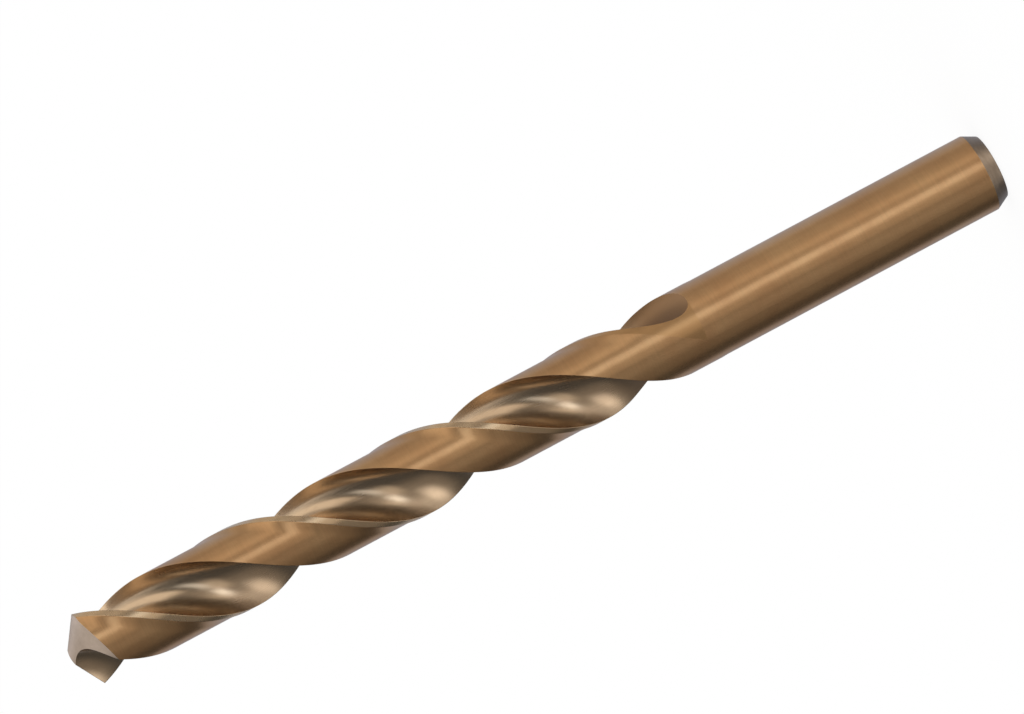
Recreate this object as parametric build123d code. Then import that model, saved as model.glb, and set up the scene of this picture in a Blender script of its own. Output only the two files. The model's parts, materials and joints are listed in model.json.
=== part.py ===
from build123d import *
import os
from math import asin, ceil, cos, degrees, radians, sin, sqrt, tan

# A right-hand twist drill for metal, ground from one bar of cobalt high-speed steel.
# Millimetres and degrees. Z is the drill's axis: the flat end of the shank is at Z = 0,
# the point is at the top, and the outer corner of one cutting lip lies over +X.

# Driving dimensions: the bar
drill_diameter = 12.0
overall_length = 151.0
shank_diameter = 11.9          # ground a little under the drill diameter
end_chamfer_length = 2.0       # along the axis
end_chamfer_depth = 1.05       # towards the axis
shank_plain_length = 49.2      # from the end face to where the flutes run out
shank_step_length = 1.0        # of the slight cone between the two diameters
shank_step_gap = 1.4           # from that cone up to the flutes

# Driving dimensions: the flutes
flute_lead = 56.7              # advance for one full turn
web_at_point = 2.0             # core thickness between the flutes, at the point
web_growth = 1.3               # how much thicker the core gets over 100 mm towards the shank
flute_opening_angle = 94.0     # from a lip's corner forward to the next heel, at the point
heel_face_lean = 35.0          # of the heel side against the radius through the heel
hollow_angle = 112.0           # from a lip's corner to the deepest place of the heel side
hollow_radius = 3.7            # distance of that place from the axis
wheel_exit_radius = 18.0       # of the arc along which each flute rises out of the bar
wheel_exit_angle = 66.0        # direction of that rise, measured forward from the lip

# Driving dimensions: the lands
margin_width = 1.1             # full-diameter strip behind each leading edge, round the bar
clearance_depth = 0.28         # how far the rest of the land lies under the margin
clearance_ramp = 0.4           # width of the slope between the two
clearance_fade = 10.0          # length over which the clearance dies out at the shank
clearance_end = 7.0            # from the shank's plain length to where it has died out
heel_overrun_angle = 15.0      # how far past the heel the clearance is ground

# Driving dimensions: the point
lip_angle = 62.5               # between a lip and the axis
lip_relief = 4.5               # fall of the flank just behind the lip
flank_cone_angle = 37.5        # between the side and the axis of the cone the flank lies on
flank_apex_distance = 4.9      # from the axis back to the cone's apex, along the lip

# How finely the twisted shapes are drawn, and how far each cut reaches past the metal
sections_per_turn = 20
lip_face_points = 7
overrun = 1.5

# Sizes worked out from the dimensions above
radius = drill_diameter / 2
half_web = web_at_point / 2
lip_reach = sqrt(radius**2 - half_web**2)
lip_turn = degrees(asin(half_web / radius))
lip_fall = 1 / tan(radians(lip_angle))
relief_slope = tan(radians(lip_relief))
flank_curve = tan(radians(flank_cone_angle))
corner_height = overall_length - (
    lip_reach * lip_fall - relief_slope * half_web
    - half_web**2 / (2 * flank_apex_distance * flank_curve)
)
twist = 360 / flute_lead
far_outside = 3 * radius


def polar(distance, angle):
    return (distance * cos(radians(angle)), distance * sin(radians(angle)))


def web_rise(height):
    """How far the web's taper has moved a flute out of the bar at this height."""
    return web_growth / 2 * (overall_length - height) / 100


def flute_rise(height):
    """The same with the arc near the shank, along which the grinding wheel leaves."""
    exit_rise = radius - half_web - web_rise(shank_plain_length)
    exit_length = sqrt(wheel_exit_radius**2 - (wheel_exit_radius - exit_rise)**2)
    into_exit = max(0.0, shank_plain_length + exit_length - height)
    arc_rise = wheel_exit_radius - sqrt(max(0.0, wheel_exit_radius**2 - into_exit**2))
    return web_rise(height) + arc_rise


def lip_face_point(along):
    """A point of the face under the lip, given its distance along the lip. The face is
    curved in every level section, so that it meets the cone of the point in a straight lip."""
    turn = lip_turn + twist * lip_fall * (lip_reach - along)
    return (
        along * cos(radians(turn)) + half_web * sin(radians(turn)),
        half_web * cos(radians(turn)) - along * sin(radians(turn)),
    )


def flute_profile():
    """The space of one flute in a level section, with the lip's corner on +X. It is open
    far outside the bar, so that it can be moved outwards."""
    steps = lip_face_points - 1
    lip_side = [lip_face_point(lip_reach * (1 - step / steps)) for step in range(steps + 1)]
    heel = polar(radius, flute_opening_angle)
    with BuildSketch() as sketch:
        with BuildLine():
            lip_face = Spline(*lip_side)
            Spline(
                lip_side[-1], polar(hollow_radius, hollow_angle), heel,
                tangents=(lip_face % 1, polar(1, flute_opening_angle - heel_face_lean)),
            )
            Polyline(
                heel,
                polar(far_outside, flute_opening_angle),
                polar(far_outside, 0),
                lip_side[0],
            )
        make_face()
    return sketch.sketch


def clearance_profile(height):
    """A wedge over one land in a level section. Its front side is the slope behind the
    margin, and its back side lies in the next flute."""
    margin_edge = degrees((web_rise(height) * sin(radians(wheel_exit_angle)) - margin_width) / radius)
    ramp_top = Vector(*polar(radius, margin_edge))
    ramp_foot = Vector(*polar(radius - clearance_depth, margin_edge - degrees(clearance_ramp / radius)))
    slope = (ramp_top - ramp_foot).normalized()
    back = flute_opening_angle - 180 - heel_overrun_angle
    outline = Polyline(
        ramp_foot - slope * clearance_ramp,
        ramp_top + slope * overrun,
        Vector(*polar(far_outside, margin_edge)),
        Vector(*polar(far_outside, back)),
        Vector(*polar(half_web, back)),
        close=True,
    )
    return make_face(outline)


def lofted(profile_at, bottom):
    """A solid through turned copies of a level profile, evenly spaced from above the point
    down to the given height, so that it follows the flutes' helix."""
    top = overall_length + overrun
    steps = ceil((top - bottom) / flute_lead * sections_per_turn)
    heights = [top - (top - bottom) * step / steps for step in range(steps + 1)]
    return loft([
        Pos(0, 0, height) * Rot(0, 0, twist * (height - corner_height)) * profile_at(height)
        for height in heights
    ])


def flute_space():
    """The space of one whole flute, twisted up the bar and rising out of it at the shank."""
    profile = flute_profile()

    def risen_profile(height):
        out_x, out_y = polar(flute_rise(height), wheel_exit_angle)
        return Pos(out_x, out_y, 0) * profile

    return lofted(risen_profile, shank_plain_length - shank_step_gap / 2)


def clearance_space():
    """The thin layer ground off one land behind its margin. What stays under it is round,
    and swells to the full diameter near the shank."""
    faded_out = shank_plain_length + clearance_end
    wedge = lofted(clearance_profile, faded_out - overrun)
    fade_slope = clearance_depth / clearance_fade
    kept_outline = Polyline(
        (0, 0, faded_out - 2 * overrun),
        (radius + 2 * overrun * fade_slope, 0, faded_out - 2 * overrun),
        (radius - clearance_depth, 0, faded_out + clearance_fade),
        (radius - clearance_depth, 0, overall_length + 2 * overrun),
        (0, 0, overall_length + 2 * overrun),
        close=True,
    )
    return wedge - revolve(make_face(kept_outline), Axis.Z)


def ground_bar():
    """The round bar with its chamfered end, its shank and the full diameter above."""
    full_from = shank_plain_length - shank_step_gap
    shank_radius = shank_diameter / 2
    outline = Polyline(
        (0, 0, 0),
        (shank_radius - end_chamfer_depth, 0, 0),
        (shank_radius, 0, end_chamfer_length),
        (shank_radius, 0, full_from - shank_step_length),
        (radius, 0, full_from),
        (radius, 0, overall_length + overrun / 2),
        (0, 0, overall_length + overrun / 2),
        close=True,
    )
    return revolve(make_face(outline), Axis.Z)


def above_flank():
    """What the point grinding takes off over one flank. The flank is part of a cone that has
    the lip as one of its straight lines and its apex on the far side of the axis."""
    lip_heading = -radians(lip_turn)
    along = Vector(cos(lip_heading), sin(lip_heading), 0)
    behind = Vector(sin(lip_heading), -cos(lip_heading), 0)
    down_lip = (along - Vector(0, 0, lip_fall)).normalized()
    down_flank = (behind - Vector(0, 0, relief_slope)).normalized()
    inward = down_lip.cross(down_flank).normalized()
    if inward.Z > 0:
        inward = -inward
    apex = (
        -flank_apex_distance * along
        - half_web * behind
        + Vector(0, 0, corner_height + (lip_reach + flank_apex_distance) * lip_fall)
    )
    half_angle = radians(flank_cone_angle)
    cone_heading = down_lip * cos(half_angle) + inward * sin(half_angle)
    cone_height = 3 * drill_diameter
    cone = Cone(
        cone_height * flank_curve, 0, cone_height,
        align=(Align.CENTER, Align.CENTER, Align.MAX),
    )
    block = Pos(-half_web, 0, overall_length) * Box(
        2 * drill_diameter, 2 * drill_diameter, 1.5 * drill_diameter,
        align=(Align.MIN, Align.CENTER, Align.CENTER),
    )
    return Rot(0, 0, -lip_turn) * block - Plane(origin=apex, z_dir=-cone_heading) * cone


half_turn = Rot(0, 0, 180)
drill = ground_bar()
for cutter in (flute_space(), clearance_space(), above_flank()):
    drill = drill - cutter - half_turn * cutter

os.makedirs("parts", exist_ok=True)
export_step(drill, "parts/twist_drill.step")
print("twist_drill", drill.volume, "mm3, solids:", len(drill.solids()))
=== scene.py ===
import json

import bmesh
import bpy
import numpy as np
from mathutils import Matrix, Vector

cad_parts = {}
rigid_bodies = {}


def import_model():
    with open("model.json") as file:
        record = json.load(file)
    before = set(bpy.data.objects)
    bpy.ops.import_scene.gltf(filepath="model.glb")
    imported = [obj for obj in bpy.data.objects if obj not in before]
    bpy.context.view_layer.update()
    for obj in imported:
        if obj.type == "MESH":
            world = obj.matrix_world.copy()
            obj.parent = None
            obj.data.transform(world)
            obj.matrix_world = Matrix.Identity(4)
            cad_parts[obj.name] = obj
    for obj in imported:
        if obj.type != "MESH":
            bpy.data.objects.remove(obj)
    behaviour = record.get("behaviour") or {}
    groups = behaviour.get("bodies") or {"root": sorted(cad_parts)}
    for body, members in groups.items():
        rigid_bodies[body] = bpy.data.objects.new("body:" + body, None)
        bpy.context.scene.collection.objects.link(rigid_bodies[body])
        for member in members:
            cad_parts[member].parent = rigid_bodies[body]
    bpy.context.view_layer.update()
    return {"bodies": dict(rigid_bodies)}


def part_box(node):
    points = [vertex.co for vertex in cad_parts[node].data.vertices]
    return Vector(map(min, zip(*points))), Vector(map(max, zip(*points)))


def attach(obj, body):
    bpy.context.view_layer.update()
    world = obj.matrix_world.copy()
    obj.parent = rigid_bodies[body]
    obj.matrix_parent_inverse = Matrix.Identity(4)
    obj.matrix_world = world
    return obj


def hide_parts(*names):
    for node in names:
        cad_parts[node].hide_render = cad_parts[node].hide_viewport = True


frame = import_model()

# ---------------------------------------------------------------------------------------------
# The bar. A rod of cobalt high-speed steel, hardened, ground round and tempered to a straw gold,
# which it keeps wherever nothing is ground off it later. All its surfaces are worked out below in
# millimetres, round the drill's own axis.
MM = 0.001
low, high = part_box("twist_drill")
radius = high.x / MM
length = 151.0
patches_per_metre = 130.0       # the temper's colour drifts over some 8 mm
mark_roughness, patch_roughness = 0.10, 0.12    # how far each of them changes the roughness


def linear(hex_colour):
    """An sRGB hex colour as linear red, green, blue and 1: ((c + 0.055) / 1.055) ^ 2.4."""
    levels = [int(hex_colour[k:k + 2], 16) / 255 for k in (0, 2, 4)]
    return tuple(c / 12.92 if c <= 0.04045 else ((c + 0.055) / 1.055)**2.4 for c in levels) + (1.0,)


def add(material, kind, inputs=(), **settings):
    """Adds a node, with its settings, and its inputs as (name, value or another's output)."""
    node = material.node_tree.nodes.new("ShaderNode" + kind)
    for name, value in settings.items():
        setattr(node, name, value)
    for name, value in inputs:
        if isinstance(value, bpy.types.NodeSocket):
            material.node_tree.links.new(value, node.inputs[name])
        else:
            node.inputs[name].default_value = value
    return node


def ground_steel(name, pale, deep, roughness, spread, marks, coordinates="Object", depth=0.002,
                 tones=0.1, fade=None):
    """A ground steel. Its pale and deep tone drift into each other, and the grinding marks
    change its tone, roughness and height. Marks gives how many there are along each coordinate,
    per metre of the object or per millimetre of the grain. Spread is how far they draw a
    highlight out along the axis, depth is theirs in millimetres, and tones is how much they
    lighten and darken. Fade gives two heights in millimetres, and the colour and the extra
    roughness that the finish takes on from the first to the second, by a smooth step."""
    material = bpy.data.materials.new(name)
    material.use_nodes = True
    material.node_tree.nodes.clear()
    place = add(material, "TexCoord")
    lines_at = add(material, "Mapping", [("Vector", place.outputs[coordinates]), ("Scale", marks)])
    lines = add(material, "TexNoise", [
        ("Vector", lines_at.outputs[0]), ("Scale", 1.0), ("Detail", 3.0), ("Roughness", 0.6),
    ]).outputs[0]
    patches = add(material, "TexNoise", [
        ("Vector", place.outputs["Object"]), ("Scale", patches_per_metre), ("Detail", 4.0),
        ("Roughness", 0.65),
    ]).outputs[0]
    share = add(material, "MapRange", [
        ("Value", patches), ("From Min", 0.35), ("From Max", 0.65),
    ]).outputs[0]
    tone = add(material, "Mix", [
        (0, share), (6, linear(pale)), (7, linear(deep)),
    ], data_type="RGBA").outputs[2]
    shade = add(material, "MapRange", [
        ("Value", lines), ("From Min", 0.3), ("From Max", 0.7),
        ("To Min", 1.0 - tones), ("To Max", 1.0 + tones),
    ]).outputs[0]
    shades = add(material, "CombineXYZ", [(k, shade) for k in range(3)]).outputs[0]
    tone = add(material, "Mix", [
        (0, 1.0), (6, tone), (7, shades),
    ], data_type="RGBA", blend_type="MULTIPLY").outputs[2]
    rough = roughness - (mark_roughness + patch_roughness) / 2
    for pattern, change in ((lines, mark_roughness), (patches, patch_roughness)):
        rough = add(material, "Math", [
            (0, pattern), (1, change), (2, rough),
        ], operation="MULTIPLY_ADD").outputs[0]
    if fade:
        begin, end, colour, rougher = fade
        height = add(material, "SeparateXYZ", [(0, place.outputs["Object"])]).outputs["Z"]
        faded = add(material, "MapRange", [
            ("Value", height), ("From Min", begin * MM), ("From Max", end * MM),
        ], interpolation_type="SMOOTHSTEP").outputs[0]
        tone = add(material, "Mix", [
            (0, faded), (6, tone), (7, linear(colour)),
        ], data_type="RGBA").outputs[2]
        rough = add(material, "Math", [
            (0, faded), (1, rougher), (2, rough),
        ], operation="MULTIPLY_ADD").outputs[0]
    bump = add(material, "Bump", [("Height", lines), ("Distance", depth * MM), ("Strength", 1.0)])
    tangent = add(material, "Tangent", direction_type="RADIAL", axis="Z")
    shader = add(material, "BsdfPrincipled", [
        ("Base Color", tone), ("Metallic", 1.0), ("Roughness", rough), ("Normal", bump.outputs[0]),
        ("Anisotropic", spread), ("Anisotropic Rotation", 0.25), ("Tangent", tangent.outputs[0]),
    ])
    add(material, "OutputMaterial", [("Surface", shader.outputs[0])])
    return material


# Tempered steel, cylindrically ground: a warm straw gold with fine rings round the drill, which
# draw the lamps out into long soft streaks along it. The wheel's real marks are a few hundredths
# of a millimetre apart and are drawn at 0.2 mm, so that they just show.
tempered_steel = ground_steel(
    "tempered_steel", "DFB484", "D4A678", 0.35, 0.9, (160.0, 160.0, 4800.0), depth=0.0015,
    tones=0.04,
)

# ---------------------------------------------------------------------------------------------
# The point. Each flank is ground on a cone that has the straight lip as one of its lines, and
# the two cones meet in the chisel edge. It is ground after the temper, so the steel is bare.
half_web = 1.0
lip_angle = np.radians(62.5)    # between a lip and the axis
relief = np.tan(np.radians(4.5))
cone_angle = np.radians(37.5)
apex_back = 4.9                 # from the axis back to the cone's apex, along the lip
lip_reach = np.sqrt(radius**2 - half_web**2)
lip_turn = np.arcsin(half_web / radius)
lip_fall = 1 / np.tan(lip_angle)
corner_z = length - (
    lip_reach * lip_fall - relief * half_web
    - half_web**2 / (2 * apex_back * np.tan(cone_angle))
)


def turned(xy, angle):
    """The points turned about the axis: x cos - y sin, x sin + y cos."""
    x, y = xy[..., 0], xy[..., 1]
    return np.stack([x * np.cos(angle) - y * np.sin(angle), x * np.sin(angle) + y * np.cos(angle)], -1)


def flank_height(xy, side):
    """Height of a flank's cone over each point, and the point's distance along the lip. It is
    the root of (d . axis)^2 = |d|^2 cos^2 for the line straight up through the point, where d
    runs from the cone's apex. Side is +1 for the lip over +X and -1 for the other."""
    point = turned(xy * side, lip_turn)
    down_lip = np.array([1.0, 0.0, -lip_fall]) / np.hypot(1.0, lip_fall)
    down_flank = np.array([0.0, -1.0, -relief]) / np.hypot(1.0, relief)
    inward = np.cross(down_lip, down_flank)
    inward *= -np.sign(inward[2]) / np.linalg.norm(inward)
    axis = down_lip * np.cos(cone_angle) + inward * np.sin(cone_angle)
    dx, dy = point[..., 0] + apex_back, point[..., 1] - half_web
    across = dx * axis[0] + dy * axis[1]
    square = np.cos(cone_angle)**2
    a = axis[2]**2 - square
    b = 2 * across * axis[2]
    c = across**2 - square * (dx**2 + dy**2)
    root = np.sqrt(np.maximum(b**2 - 4 * a * c, 0.0))
    ends = np.stack([(-b + root) / (2 * a), (-b - root) / (2 * a)])
    nearest = np.abs(ends + lip_fall * dx).argmin(0)
    fall = np.take_along_axis(ends, nearest[None], 0)[0]
    return corner_z + (lip_reach + apex_back) * lip_fall + fall, point[..., 0]


def point_height(xy):
    """The lower of the two flanks over each point, each counted on its own side of the axis."""
    heights = []
    for side in (1, -1):
        z, along = flank_height(xy, side)
        heights.append(np.where(along > -half_web, z, np.inf))
    return np.minimum(*heights)


# Bare ground steel: a grey with hardly any gold in it, and its marks don't draw the highlight
# out either way, so it shows one soft even tone. They are drawn at 0.4 mm, coarser than real.
flank_steel = ground_steel(
    "ground_flank", "AC9C8E", "98897C", 0.34, 0.0, (2600.0, 2600.0, 900.0), tones=0.05,
)

# ---------------------------------------------------------------------------------------------
# The flutes. A form wheel grinds both of them along a right-hand helix and polishes them. The
# wheel sinks a little deeper towards the point, and near the shank it leaves the bar in an arc.
lead = 56.7
opening = np.radians(94.0)      # from a lip's corner forward to the next heel
heel_lean = np.radians(35.0)
hollow_angle, hollow_radius = np.radians(112.0), 3.7
web_growth = 1.3 / 100
plain_length = 49.2
exit_radius, exit_angle = 18.0, np.radians(66.0)
twist = 2 * np.pi / lead
flute_columns = 34
lip_samples, hollow_samples = 400, 300
lip_pull, heel_pull = 1.35, 1.3     # how long the curve keeps its direction at each end


def web_rise(z):
    """How far the growing web has lifted the flute at this height."""
    return web_growth / 2 * (length - z)


def flute_rise(z):
    """The same with the circular arc near the shank, radius minus root of radius^2 - run^2."""
    depth = radius - half_web - web_rise(plain_length)
    arc_length = np.sqrt(exit_radius**2 - (exit_radius - depth)**2)
    run = np.maximum(plain_length + arc_length - z, 0.0)
    return web_rise(z) + exit_radius - np.sqrt(np.maximum(exit_radius**2 - run**2, 0.0))


def hermite(start, end, start_slope, end_slope, count):
    """A cubic from start to end with these slopes per unit of the distance between them."""
    t = np.linspace(0.0, 1.0, count)[:, None]
    span = np.linalg.norm(end - start)
    return (
        start * (2 * t**3 - 3 * t**2 + 1) + start_slope * span * (t**3 - 2 * t**2 + t)
        + end * (3 * t**2 - 2 * t**3) + end_slope * span * (t**3 - t**2)
    )


def on_circle(distance, angle):
    """Points at this distance from the axis, in these directions."""
    return np.stack([distance * np.cos(angle), distance * np.sin(angle)], -1)


def flute_curve():
    """One flute in a level section, from the lip's corner to the heel. The lip's side is the
    straight lip with each point turned back by the helix; the heel's side is two cubics that
    meet at the hollow with equal curvature."""
    along = np.linspace(lip_reach, 0.0, lip_samples)
    lip_line = np.stack([along, np.full_like(along, half_web)], -1)
    lip_side = turned(lip_line, -lip_turn - twist * lip_fall * (lip_reach - along))
    root = lip_side[-1]
    hollow, heel = on_circle(hollow_radius, hollow_angle), on_circle(radius, opening)
    leaving = (root - lip_side[-2]) / np.linalg.norm(root - lip_side[-2]) * lip_pull
    arriving = on_circle(heel_pull, opening - heel_lean)
    first, second = np.linalg.norm(hollow - root), np.linalg.norm(heel - hollow)
    middle = (
        3 * ((hollow - root) / first**2 + (heel - hollow) / second**2)
        - leaving / first - arriving / second
    ) / (2 / first + 2 / second)
    return np.concatenate([
        lip_side,
        hermite(root, hollow, leaving, middle, hollow_samples)[1:],
        hermite(hollow, heel, middle, arriving, hollow_samples)[1:],
    ])


def along_path(points):
    """The length walked to each point of a path: the running sum of its steps."""
    steps = np.linalg.norm(np.diff(points, axis=0), axis=1)
    return np.concatenate([[0.0], np.cumsum(steps)])


curve = flute_curve()
curve_run = along_path(curve)


def curve_at(distance):
    """The point of the flute's curve at a distance from the lip's corner."""
    return np.stack([np.interp(distance, curve_run, curve[:, k]) for k in (0, 1)], -1)


# Polished flute: the smoothest face, thinly coloured, so it shows each lamp as a soft bright
# spot with dark between them. Hair lines run along the helix for some 8 mm each, drawn 0.14 mm
# apart, which is coarser than the real ones. Where the wheel leaves, the flute is only ground: a
# dull grey-brown.
flute_steel = ground_steel(
    "polished_flute", "D8C0A3", "CCB397", 0.25, 0.0, (7.0, 0.12, 0.0), "UV", 0.0003, tones=0.05,
    fade=(66.0, 54.0, "9C7C5C", 0.32),
)

# ---------------------------------------------------------------------------------------------
# The lands. Behind each leading edge a narrow margin keeps the full diameter, and the rest of
# the land is ground a little lower, with a hollow slope between. The layer dies out below.
edge = 0.05                     # width over which a ground edge turns from one face to the next
margin_width, clearance, ramp_width = 1.1, 0.28, 1.9
fade_start, fade_length = plain_length + 7.0, 10.0
margin_columns, ramp_columns, clear_columns = 10, 14, 22
land_columns = margin_columns + ramp_columns + clear_columns
exit_zone = 14.0                # above the plain shank, where the flutes open: closer rows
exit_way = on_circle(1.0, exit_angle)
exit_samples, level_samples, lip_steps = 400, 500, 6000
narrow_share = 0.02             # the most of a flute's side that a narrow column takes


def clear_radius(z):
    """Distance of the land from the axis: full near the shank, then falling evenly."""
    return radius - clearance * np.clip((z - fade_start) / fade_length, 0.0, 1.0)


def surface_crossings(heights):
    """For each height, where the flute's curve meets the bar: distances along the curve and
    directions, for the leading edge and for the heel. The curve is followed out both ways
    from its deepest point until it comes through the land's surface."""
    found = []
    for z in heights:
        place = curve + exit_way * flute_rise(z)
        far = np.hypot(*place.T)
        deepest = int(far.argmin())
        inside = (far[deepest] < radius) and (z > plain_length)
        row = []
        for step, limit in ((-1, radius), (1, clear_radius(z))):
            at = deepest
            while inside and 0 <= at + step < len(far) and far[at + step] < limit:
                at += step
            beyond = at + step
            share = 0.0
            if inside and 0 <= beyond < len(far):
                share = (limit - far[at]) / (far[beyond] - far[at])
            beyond = min(max(beyond, 0), len(far) - 1)
            x, y = place[at] + share * (place[beyond] - place[at])
            row += [curve_run[at] + share * (curve_run[beyond] - curve_run[at]), np.arctan2(y, x)]
        found.append(row)
    return np.array(found).T


crossing_z = plain_length + np.concatenate([
    np.linspace(0.0, 1.0, exit_samples)**2 * exit_zone,
    np.linspace(exit_zone + 0.2, length + 1 - plain_length, level_samples),
])
lead_run, lead_angle, heel_run, heel_angle = surface_crossings(crossing_z)

# The lips end at the chisel edge, where both flanks are equally high over the lip's line.
lip_places = np.linspace(0.0, lip_reach, lip_steps + 1)
lip_xy = turned(np.stack([lip_places, np.full_like(lip_places, half_web)], -1), -lip_turn)
own_flank, other_flank = (flank_height(lip_xy, side)[0] for side in (1, -1))
lip_end = lip_places[np.nonzero(np.diff(np.sign(own_flank - other_flank)))[0][0]]
lip_end_z = corner_z + (lip_reach - lip_end) * lip_fall
lip_end_run = np.interp(
    lip_reach - lip_end, np.linspace(0.0, lip_reach, lip_samples), curve_run[:lip_samples]
)
lead_there, heel_there = (np.interp(lip_end_z, crossing_z, run) for run in (lead_run, heel_run))
lip_share = (lip_end_run - lead_there) / (heel_there - lead_there)


def flute_strip(z, heel_side):
    """Columns down one side of a flute, from the leading edge to the chisel's end or from
    there to the heel, evenly spaced but for a narrow column at each end."""
    first, last = (np.interp(z, crossing_z, run) for run in (lead_run, heel_run))
    middle = first + lip_share * (last - first)
    start, end = (middle, last) if heel_side else (first, middle)
    narrow = np.minimum(edge, narrow_share * (end - start))
    k = np.arange(flute_columns + 1)
    inner = narrow + (end - start - 2 * narrow) * np.clip((k - 1) / (flute_columns - 2), 0, 1)
    distance = start + np.where(k == 0, 0.0, np.where(k == flute_columns, end - start, inner))
    moved = curve_at(distance) + exit_way * flute_rise(z)[..., None]
    return turned(moved, twist * (z - corner_z))


def land_strip(z):
    """Columns round one land from its leading edge back to its heel: the margin at full
    radius, the hollow slope, which falls with the square of what is left of it, and the
    clearance."""
    leading = np.interp(z, crossing_z, lead_angle)
    heel = np.interp(z, crossing_z, heel_angle) - np.pi
    margin_end = (web_rise(z) * np.sin(exit_angle) - margin_width) / radius
    ramp_end = margin_end - ramp_width / radius
    k = np.arange(land_columns + 1)
    narrow = edge / radius
    margin_share = np.clip((k - 1) / (margin_columns - 1), 0, 1)
    margin = leading - narrow + (margin_end - leading + narrow) * margin_share
    margin = np.where(k == 0, leading, margin)
    ramp_share = np.clip((k - margin_columns) / ramp_columns, 0, 1)
    ramp = margin_end + (ramp_end - margin_end) * ramp_share
    clear_share = np.clip((k - margin_columns - ramp_columns) / (clear_columns - 1), 0, 1)
    clear = ramp_end + (heel + narrow - ramp_end) * clear_share
    clear = np.where(k == land_columns, heel, clear)
    behind = np.where(k <= margin_columns + ramp_columns, ramp, clear)
    angle = np.where(k <= margin_columns, margin, behind)
    distance = radius + (clear_radius(z) - radius) * (1 - (1 - ramp_share)**2)
    return turned(on_circle(distance, angle), twist * (z - corner_z))


# Barely tempered margin: it is ground to size last of all, so it is paler and smoother than the
# land and stands out as a light line along the edge. It dies out towards the shank. Its marks
# are drawn at 0.7 mm, coarser than real, because finer ones only flicker on so narrow a strip.
margin_steel = ground_steel(
    "bare_margin", "EED2AE", "E2C29C", 0.28, 0.5, (160.0, 160.0, 1500.0), depth=0.0004,
    tones=0.03, fade=(84.0, 58.0, "D8AB79", 0.06),
)

# ---------------------------------------------------------------------------------------------
# The fluted body, from the plain shank up to the flanks. It is one grid: each row is the drill's
# whole section, and each column follows the helix up to where it meets a flank.
level_top = 138.0               # rows are level up to here, and above it they close up evenly
level_rows, closing_rows, exit_rows = 150, 26, 36
below_flanks, above_point = 140.0, length + 1     # heights that a flank is searched between
halvings = 50
HALF_TURN = np.array([-1.0, -1.0, 1.0])


def half_section(z):
    """Half of the drill's section, one column for each height given: out along a flute from
    the lip's corner to the heel, then on round the next land to the other lip's corner."""
    flute, heel = z[:, :flute_columns + 1], z[:, flute_columns:2 * flute_columns + 1]
    land = np.concatenate([z[:, :1], z[:, 2 * flute_columns:][:, ::-1]], 1)
    return np.concatenate([
        flute_strip(flute, False),
        flute_strip(heel, True)[:, 1:],
        -land_strip(land)[:, 1:land_columns][:, ::-1],
    ], 1)


# Where a column meets a flank is found by halving an interval that holds the meeting.
half_columns = 2 * flute_columns + land_columns
lower, upper = (np.full((1, half_columns), z) for z in (below_flanks, above_point))
for _ in range(halvings):
    middle = (lower + upper) / 2
    above = middle > point_height(half_section(middle))
    lower, upper = np.where(above, lower, middle), np.where(above, middle, upper)
top = (lower + upper) / 2

exit_z = plain_length + np.linspace(0.0, 1.0, exit_rows)**2 * exit_zone
level_z = np.linspace(exit_z[-1], level_top, level_rows)[1:]
body_z = np.concatenate(
    [np.full((1, half_columns), z) for z in np.concatenate([exit_z, level_z])]
    + [level_top + (top - level_top) * share for share in np.linspace(0.0, 1.0, closing_rows)[1:-1]]
    + [top - edge, top]
)
half_body = np.concatenate([half_section(body_z), body_z[..., None]], -1)
body = np.concatenate([half_body, half_body * HALF_TURN], 1)

# A flank is a patch between four edges: the lip, the heel's side of the other flute, the
# chisel edge and the land. Each point is a blend of the edges, lifted to the flank's cone.
chisel_end, corner = half_body[-1, flute_columns], half_body[-1, 0]
lip_top = half_body[-1, :flute_columns + 1][::-1]
heel_top = half_body[-1, flute_columns:2 * flute_columns + 1] * HALF_TURN
land_top = np.concatenate([corner[None], (half_body[-1, 2 * flute_columns:] * HALF_TURN)[::-1]])
land_share = along_path(land_top[:, :2]) / along_path(land_top[:, :2])[-1]
chisel = chisel_end[:2] * (1 - 2 * land_share[:, None])
lip_heading = on_circle(1.0, -lip_turn)
lower, upper = np.full(len(chisel), -half_web), np.full(len(chisel), half_web)
for _ in range(halvings):
    middle = (lower + upper) / 2
    there = chisel + lip_heading * middle[:, None]
    above = flank_height(there, 1)[0] > flank_height(there, -1)[0]
    lower, upper = np.where(above, middle, lower), np.where(above, upper, middle)
inner = ((land_share > 0) & (land_share < 1))[:, None]
chisel = chisel + lip_heading * np.where(inner, middle[:, None], 0.0)
lip_run = along_path(lip_top[:, :2])
u = (lip_run / lip_run[-1])[:, None, None]
v = land_share[None, :, None]
flank_xy = (
    (1 - v) * lip_top[:, None, :2] + v * heel_top[:, None, :2]
    + (1 - u) * chisel[None] + u * land_top[None, :, :2]
    - (1 - u) * (1 - v) * chisel[0] - u * (1 - v) * lip_top[-1, :2]
    - (1 - u) * v * chisel[-1] - u * v * heel_top[-1, :2]
)
flank_z = flank_height(flank_xy, 1)[0]
flank_z[:, 0], flank_z[:, -1], flank_z[-1] = lip_top[:, 2], heel_top[:, 2], land_top[:, 2]
flank = np.concatenate([flank_xy, flank_z[..., None]], -1)

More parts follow.
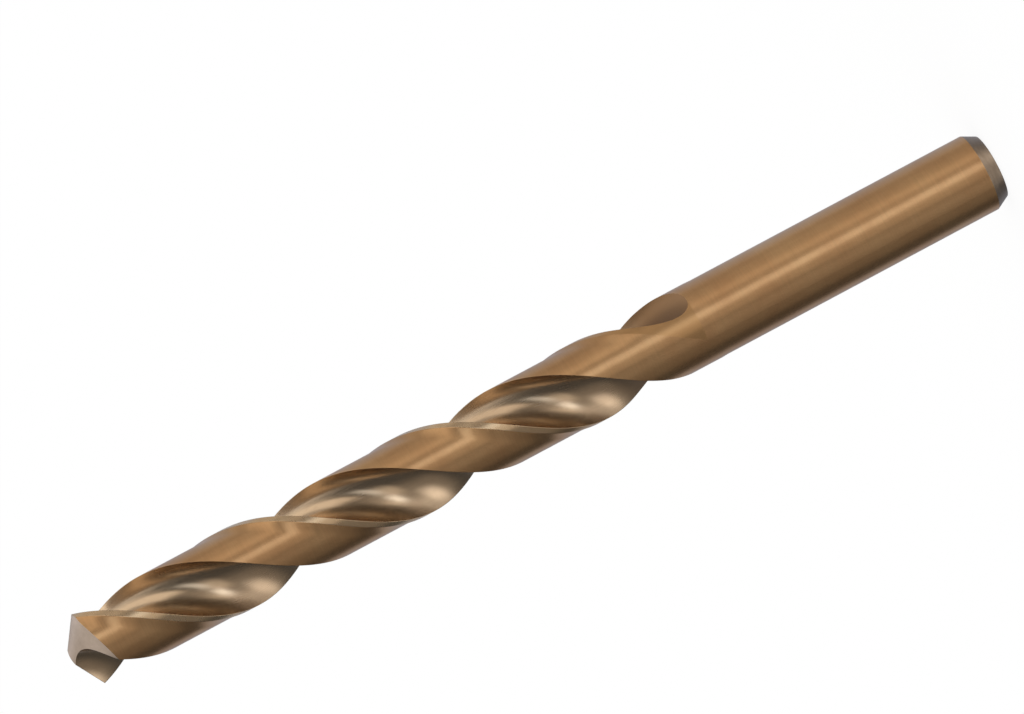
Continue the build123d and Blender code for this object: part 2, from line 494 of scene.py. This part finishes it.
# ---------------------------------------------------------------------------------------------
# The shank. It is ground round a touch under the drill's size, plain up to the flutes, with a
# chamfer on its end, and the end face is cut off square.
shank_radius = 5.95
chamfer_length, chamfer_depth = 2.0, 1.05
step_length, step_gap = 1.0, 1.4
end_radius = shank_radius - chamfer_depth
step_top = plain_length - step_gap
step_foot = step_top - step_length
shank_rows, collar_rows = 30, 4
face_rings = (4.0, 3.0, 2.0, 1.0)
chamfer_edge = edge / np.hypot(chamfer_length, chamfer_depth)
chamfer_shares = (0.0, chamfer_edge, 0.25, 0.5, 0.75, 1 - chamfer_edge, 1.0)
shank_profile = np.array(
    [(radius, plain_length)]
    + [(radius, z) for z in np.linspace(plain_length - edge / 2, step_top, collar_rows)]
    + [(shank_radius, z) for z in np.linspace(step_foot, chamfer_length + edge, shank_rows)]
    + [(shank_radius - chamfer_depth * t, chamfer_length * (1 - t)) for t in chamfer_shares]
    + [(distance, 0.0) for distance in (end_radius - edge, *face_rings)]
)
ring = np.concatenate([
    body[0, 2 * flute_columns:half_columns], body[0, half_columns + 2 * flute_columns:],
])
ring_angle = np.arctan2(ring[:, 1], ring[:, 0])
shank = np.concatenate([
    on_circle(shank_profile[:, :1], ring_angle),
    np.repeat(shank_profile[:, None, 1:], len(ring_angle), 1),
], -1)

# Turned end: the chamfer and the face are cut before the bar is hardened, and keep a thin
# grey-brown scale that dulls them. The turning marks are drawn 0.4 mm apart, coarser than real.
end_steel = ground_steel(
    "scaled_end", "B6A899", "9B8B7B", 0.42, 0.2, (700.0, 700.0, 2600.0),
)

# ---------------------------------------------------------------------------------------------
# The one piece. The grids above are laid edge to edge into one skin, each with the finish of its
# grinding, and it stands in for the plain solid.
FLUTE, LAND, MARGIN, FLANK, END = range(5)
merging_distance = 2e-7         # metres
points, quads, finishes, grains = [], [], [], []


def lay_grid(grid, finish, closed):
    """Adds a grid of points as quads. Finish is one number, or one for each column or row. The
    grain of a point is its distance across the grid and along it, both in millimetres."""
    start = sum(len(part) for part in points)
    rows, columns = grid.shape[:2]
    index = start + np.arange(rows * columns).reshape(rows, columns)
    if closed:
        index = np.concatenate([index, index[:, :1]], 1)
    cells = np.stack([index[:-1, :-1], index[:-1, 1:], index[1:, 1:], index[1:, :-1]], -1)
    across, along = along_path(grid[rows // 2]), along_path(grid[:, columns // 4])
    grains.append(np.stack(np.broadcast_arrays(across[None], along[:, None]), -1).reshape(-1, 2))
    points.append(grid.reshape(-1, 3))
    quads.append(cells.reshape(-1, 4))
    finishes.append(np.broadcast_to(finish, cells.shape[:2]).reshape(-1))


half_finish = np.repeat(
    [FLUTE, LAND, MARGIN], [2 * flute_columns, clear_columns + ramp_columns, margin_columns]
)
lay_grid(body, np.tile(half_finish, 2)[None], closed=True)
for side in (1.0, HALF_TURN):
    lay_grid((flank * side).transpose(1, 0, 2)[::-1], FLANK, closed=False)
shank_finish = np.where(shank_profile[1:, 1] < chamfer_length, END, LAND)
lay_grid(shank[::-1], shank_finish[::-1, None], closed=True)
middle_point = sum(len(part) for part in points)
last_ring = middle_point - shank.shape[0] * shank.shape[1] + np.arange(shank.shape[1])
points.append(np.zeros((1, 3)))
grains.append(np.zeros((1, 2)))
fan = np.stack([np.roll(last_ring, -1), last_ring, np.full_like(last_ring, middle_point)], -1)

vertices = np.concatenate(points) * MM
vertices[:, 2] = np.clip(vertices[:, 2], low.z, high.z)
faces = np.concatenate(quads).tolist() + fan.tolist()
finish = np.concatenate(finishes + [np.full(len(fan), END)])
mesh = bpy.data.meshes.new("ground_drill")
mesh.from_pydata(vertices.tolist(), [], faces)
mesh.polygons.foreach_set("material_index", finish.astype(np.int32))
corners = np.concatenate([np.concatenate(quads).reshape(-1), fan.reshape(-1)])
grain = np.concatenate(grains)[corners].reshape(-1)
mesh.uv_layers.new(name="grain").data.foreach_set("uv", grain)
skin = bmesh.new()
skin.from_mesh(mesh)
bmesh.ops.remove_doubles(skin, verts=skin.verts, dist=merging_distance)
skin.to_mesh(mesh)
skin.free()
mesh.shade_smooth()
for material in (flute_steel, tempered_steel, margin_steel, flank_steel, end_steel):
    mesh.materials.append(material)
drill = bpy.data.objects.new("ground_drill", mesh)
bpy.context.collection.objects.link(drill)
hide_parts("twist_drill")
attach(drill, list(frame["bodies"])[0])

# ---------------------------------------------------------------------------------------------
# The studio. Polished metal shows its surroundings, so only what it mirrors is built up here: a
# dim room with large soft lamps and dark gaps between them. Everything else sees plain white.
camera_azimuth = -65.37
room_level = 0.07
lamp_warmth = (1.0, 0.97, 0.93)
# each lamp's azimuth from the camera and half width, elevation and half height, and soft edge,
# all in degrees, then its level and its tint. The drill points to elevation 90.
lamps = [
    (0, 180, 90, 48.5, 6, 0.90, "FFFFFF"),      # the large one over the point
    (10, 6, 49, 4, 7, 0.70, "FFF8EE"),
    (34, 5, 36, 4, 8, 0.45, "FFF8EE"),
    (0, 50, -78, 20, 26, 0.58, "FFFBF6"),       # beyond the shank's end
    (16, 5, -31, 5, 9, 1.60, "EAF4FF"),         # the brightest, close to the camera
    (18, 4, 3, 9, 8, 1.00, "EAF4FF"),
    (-2, 7, -10, 8, 13, 0.44, "FFF8EE"),
    (50, 12, -54, 12, 22, 0.86, "FFF8EE"),
    (-42, 7, -47, 7, 18, 0.70, "FFFFFF"),
    (63, 14, 20, 14, 12, 0.90, "FFF8EE"),
    (97, 10, 6, 12, 14, 0.42, "FFF8EE"),
    (-15, 60, -30, 12, 26, 0.17, "FFF4E8"),     # two wide faint ones
    (70, 50, -40, 20, 26, 0.12, "FFF4E8"),
    (150, 24, 0, 50, 22, 0.50, "D8E4FF"),       # two from behind, for the rims
    (-165, 28, 0, 50, 22, 0.40, "D8E4FF"),
]
world = bpy.data.worlds.new("studio")
bpy.context.scene.world = world
world.use_nodes = True
world.node_tree.nodes.clear()
direction = add(world, "TexCoord").outputs["Generated"]


def facing(azimuth):
    """How far the view direction points to this azimuth, measured from the camera's side."""
    angle = np.radians(camera_azimuth + azimuth)
    return add(world, "VectorMath", [
        (0, direction), (1, (np.cos(angle), np.sin(angle), 0.0)),
    ], operation="DOT_PRODUCT").outputs["Value"]


azimuth = add(world, "Math", [(0, facing(90)), (1, facing(0))], operation="ARCTAN2").outputs[0]
upward = add(world, "SeparateXYZ", [(0, direction)]).outputs["Z"]
elevation = add(world, "Math", [(0, upward)], operation="ARCSINE").outputs[0]


def within(angle, centre, half, soft):
    """One inside centre - half to centre + half, and smoothly zero beyond the soft edge."""
    away = add(world, "Math", [(0, angle), (1, np.radians(centre))], operation="SUBTRACT")
    away = add(world, "Math", [(0, away.outputs[0])], operation="ABSOLUTE").outputs[0]
    return add(world, "MapRange", [
        ("Value", away), ("From Min", np.radians(half + soft)), ("From Max", np.radians(half)),
    ], interpolation_type="SMOOTHSTEP").outputs[0]


room = add(world, "CombineXYZ", [(k, room_level) for k in range(3)]).outputs[0]
for middle, half_width, level, half_height, soft, strength, tint in lamps:
    shape = add(world, "Math", [
        (0, within(azimuth, middle, half_width, soft)),
        (1, within(elevation, level, half_height, soft)),
    ], operation="MULTIPLY").outputs[0]
    colour = [strength * channel * warm for channel, warm in zip(linear(tint), lamp_warmth)]
    inputs = [(0, shape), (1, colour), (2, room)]
    room = add(world, "VectorMath", inputs, operation="MULTIPLY_ADD").outputs[0]
mirrored = add(world, "Background", [("Color", room)])
plain = add(world, "Background", [("Strength", 1.0), ("Color", (1.0, 1.0, 1.0, 1.0))])
seen_room = add(world, "MixShader", [
    (0, add(world, "LightPath").outputs["Is Glossy Ray"]),
    (1, plain.outputs[0]), (2, mirrored.outputs[0]),
])
add(world, "OutputWorld", [("Surface", seen_room.outputs[0])])

# ---------------------------------------------------------------------------------------------
# The floor, a large sheet of matt white card. To the camera it mostly glows, so that it stays
# white under a faint shadow, and the metal doesn't mirror it, because it has the lamps for that.
floor_reach = 3.0               # metres to each side
floor_gap = 0.02 * MM           # just under the end face, so that the two planes don't fight
floor_glow = 0.9
floor_mesh = bpy.data.meshes.new("floor")
floor_corners = np.array([(-1, -1), (1, -1), (1, 1), (-1, 1)]) * floor_reach
floor_mesh.from_pydata([(x, y, -floor_gap) for x, y in floor_corners.tolist()], [], [(0, 1, 2, 3)])
floor = bpy.data.objects.new("floor", floor_mesh)
bpy.context.collection.objects.link(floor)
card = bpy.data.materials.new("white_card")
card.use_nodes = True
card.node_tree.nodes.clear()
rays = add(card, "LightPath")
matt = add(card, "BsdfDiffuse", [("Color", (1.0, 1.0, 1.0, 1.0))])
lit = add(card, "Emission", [("Color", (1.0, 1.0, 1.0, 1.0)), ("Strength", 1.0)])
clear = add(card, "BsdfTransparent")
glowing = add(card, "MixShader", [(0, floor_glow), (1, matt.outputs[0]), (2, lit.outputs[0])])
for_camera = add(card, "MixShader", [
    (0, rays.outputs["Is Camera Ray"]), (1, matt.outputs[0]), (2, glowing.outputs[0]),
])
for_metal = add(card, "MixShader", [
    (0, rays.outputs["Is Glossy Ray"]), (1, for_camera.outputs[0]), (2, clear.outputs[0]),
])
add(card, "OutputMaterial", [("Surface", for_metal.outputs[0])])
floor_mesh.materials.append(card)

# ---------------------------------------------------------------------------------------------
# The camera looks across the standing drill from a little above, rolled so that the drill
# lies from the lower left to the upper right of the picture.
picture_width, picture_height = 1024, 714
focal_pixels = 9188.61
shank_end_pixel = (990.96, 166.55)
shank_end_depth = 1327.75       # from the camera, in millimetres
tilt, roll, turn = 0.13472, 0.48973, 1.1409     # radians

away = np.array([-np.cos(tilt), 0.0, np.sin(tilt)])
sideways = np.array([0.0, 1.0, 0.0])
front = np.cross(sideways, away)


def rotation(angle):
    """A turn about the third axis, as a matrix."""
    cos, sin = np.cos(angle), np.sin(angle)
    return np.array([[cos, -sin, 0], [sin, cos, 0], [0, 0, 1]])


to_camera = rotation(roll) @ np.stack([front, sideways, away], 1) @ rotation(turn)
shank_end = shank_end_depth * np.array([
    (shank_end_pixel[0] - picture_width / 2) / focal_pixels,
    (picture_height / 2 - shank_end_pixel[1]) / focal_pixels,
    -1.0,
])
camera_place = np.eye(4)
camera_place[:3, :3] = to_camera.T
camera_place[:3, 3] = -to_camera.T @ shank_end * MM
lens = bpy.data.cameras.new("camera")
lens.sensor_width = 36.0
lens.lens = focal_pixels / picture_width * lens.sensor_width
lens.clip_end = 20.0
camera = bpy.data.objects.new("camera", lens)
camera.matrix_world = Matrix(camera_place.tolist())
bpy.context.collection.objects.link(camera)
bpy.context.scene.camera = camera
bpy.context.scene.view_settings.view_transform = "Standard"
